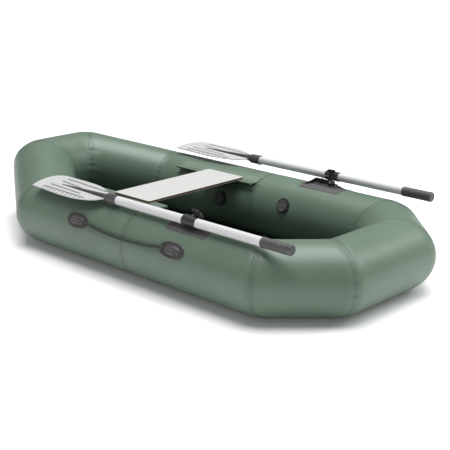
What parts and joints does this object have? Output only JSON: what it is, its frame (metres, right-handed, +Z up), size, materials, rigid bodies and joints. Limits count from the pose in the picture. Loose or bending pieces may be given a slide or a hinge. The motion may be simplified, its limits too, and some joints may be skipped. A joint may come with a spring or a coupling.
{
  "type": "inflatable boat",
  "caption": "One-person inflatable rowing boat: ring of air tubes with a raised bow, floor sheet, sliding seat board, grab ropes and swinging oars in oarlocks.",
  "frame": {"origin": "on the ground under the middle of the hull's length and width", "axes": "+X towards the stern, +Y to starboard, +Z up"},
  "size_m": [2.091, 1.032, 0.3625],
  "materials": {
    "hull_fabric": "semi-matt coated fabric",
    "inner_fabric": "matt coated fabric",
    "floor_fabric": "matt coated fabric",
    "seam_tape": "semi-matt coated tape",
    "board": "white laminated plywood",
    "board_plastic": "extruded plastic",
    "rail_rubber": "ribbed strip in the hull colour",
    "fitting_rubber": "moulded rubber",
    "rope": "braided cord",
    "steel": "stainless steel",
    "oarlock_plastic": "moulded nylon",
    "blade_plastic": "moulded plastic",
    "socket_plastic": "moulded plastic",
    "shaft_aluminium": "white coated aluminium",
    "grip_plastic": "moulded plastic",
    "valve_plastic": "moulded plastic",
    "valve_seal": "soft seal"
  },
  "bodies": {
    "hull": {"bow_tube": "hull_fabric", "bow_corner_starboard": "hull_fabric", "fore_side_starboard": "hull_fabric", "aft_side_starboard": "hull_fabric", "stern_corner_starboard": "hull_fabric", "stern_tube": "hull_fabric", "stern_corner_port": "hull_fabric", "aft_side_port": "hull_fabric", "fore_side_port": "hull_fabric", "bow_corner_port": "hull_fabric", "chamber_baffles": "inner_fabric", "floor_sheet": "floor_fabric", "seam_tapes": "seam_tape", "seat_rail_port": "rail_rubber", "rope_fittings_port": "fitting_rubber", "grab_rope_port": "rope", "oarlock_base_port": "fitting_rubber", "rock_pin_port": "steel", "seat_rail_starboard": "rail_rubber", "rope_fittings_starboard": "fitting_rubber", "grab_rope_starboard": "rope", "oarlock_base_starboard": "fitting_rubber", "rock_pin_starboard": "steel", "valve_body_aft": "valve_plastic", "valve_spring_aft": "steel", "valve_body_fore": "valve_plastic", "valve_spring_fore": "steel"},
    "seat": {"seat_board": "board", "seat_clip_port": "board_plastic", "seat_clip_starboard": "board_plastic", "seat_screws": "steel"},
    "port_swivel": {"oarlock_swivel_port": "steel"},
    "port_oar": {"oar_collar_port": "oarlock_plastic", "oar_blade_port": "blade_plastic", "oar_socket_port": "socket_plastic", "lower_shaft_port": "shaft_aluminium", "upper_shaft_port": "shaft_aluminium", "shaft_spigot_port": "shaft_aluminium", "button_spring_port": "steel", "oar_grip_port": "grip_plastic"},
    "port_knob": {"clamp_knob_port": "oarlock_plastic"},
    "port_button": {"snap_button_port": "steel"},
    "starboard_swivel": {"oarlock_swivel_starboard": "steel"},
    "starboard_oar": {"oar_collar_starboard": "oarlock_plastic", "oar_blade_starboard": "blade_plastic", "oar_socket_starboard": "socket_plastic", "lower_shaft_starboard": "shaft_aluminium", "upper_shaft_starboard": "shaft_aluminium", "shaft_spigot_starboard": "shaft_aluminium", "button_spring_starboard": "steel", "oar_grip_starboard": "grip_plastic"},
    "starboard_knob": {"clamp_knob_starboard": "oarlock_plastic"},
    "starboard_button": {"snap_button_starboard": "steel"},
    "aft_cap": {"valve_cap_aft": "valve_plastic"},
    "aft_poppet": {"valve_poppet_aft": "valve_seal"},
    "fore_cap": {"valve_cap_fore": "valve_plastic"},
    "fore_poppet": {"valve_poppet_fore": "valve_seal"}
  },
  "joints": [
    {"name": "seat_slide", "type": "slide", "parent": "hull", "child": "seat", "axis": [1, 0, 0], "range_m": [-0.17, 0.065]},
    {"name": "port_rock", "type": "hinge", "parent": "hull", "child": "port_swivel", "pos_m": [0.42, -0.386, 0.296], "axis": [1, 0, 0], "range_deg": [-42, 0]},
    {"name": "port_swing", "type": "hinge", "parent": "port_swivel", "child": "port_oar", "pos_m": [0.42, -0.386, 0.296], "axis": [0, -0.5299, 0.848], "range_deg": [0, 135]},
    {"name": "port_knob_turn", "type": "hinge", "parent": "port_swivel", "child": "port_knob", "pos_m": [0.42, -0.4072, 0.32992], "axis": [0, -0.5299, 0.848], "continuous": true},
    {"name": "port_button_press", "type": "slide", "parent": "port_oar", "child": "port_button", "axis": [0, 0, -1], "range_m": [0, 0.0025], "stiffness_N_per_m": 800, "springref_m": -0.001, "deforming": ["button_spring_port"]},
    {"name": "starboard_rock", "type": "hinge", "parent": "hull", "child": "starboard_swivel", "pos_m": [0.42, 0.386, 0.296], "axis": [-1, 0, 0], "range_deg": [-10, 32]},
    {"name": "starboard_swing", "type": "hinge", "parent": "starboard_swivel", "child": "starboard_oar", "pos_m": [0.42, 0.386, 0.296], "axis": [0, 0, -1], "range_deg": [0, 135]},
    {"name": "starboard_knob_turn", "type": "hinge", "parent": "starboard_swivel", "child": "starboard_knob", "pos_m": [0.42, 0.386, 0.336], "axis": [0, 0, 1], "continuous": true},
    {"name": "starboard_button_press", "type": "slide", "parent": "starboard_oar", "child": "starboard_button", "axis": [0, 0, -1], "range_m": [0, 0.0025], "stiffness_N_per_m": 800, "springref_m": -0.001, "deforming": ["button_spring_starboard"]},
    {"name": "aft_cap_turn", "type": "hinge", "parent": "hull", "child": "aft_cap", "pos_m": [0.28, 0.2401, 0.19694], "axis": [0, -0.9135, 0.4067], "continuous": true},
    {"name": "aft_poppet_press", "type": "slide", "parent": "hull", "child": "aft_poppet", "axis": [0, 0.9135, -0.4067], "range_m": [0, 0.004], "stiffness_N_per_m": 200, "springref_m": -0.002, "deforming": ["valve_spring_aft"]},
    {"name": "fore_cap_turn", "type": "hinge", "parent": "hull", "child": "fore_cap", "pos_m": [-0.081, 0.23013, 0.16431], "axis": [0, -0.9848, 0.1736], "continuous": true},
    {"name": "fore_poppet_press", "type": "slide", "parent": "hull", "child": "fore_poppet", "axis": [0, 0.9848, -0.1736], "range_m": [0, 0.004], "stiffness_N_per_m": 200, "springref_m": -0.002, "deforming": ["valve_spring_fore"]}
  ]
}
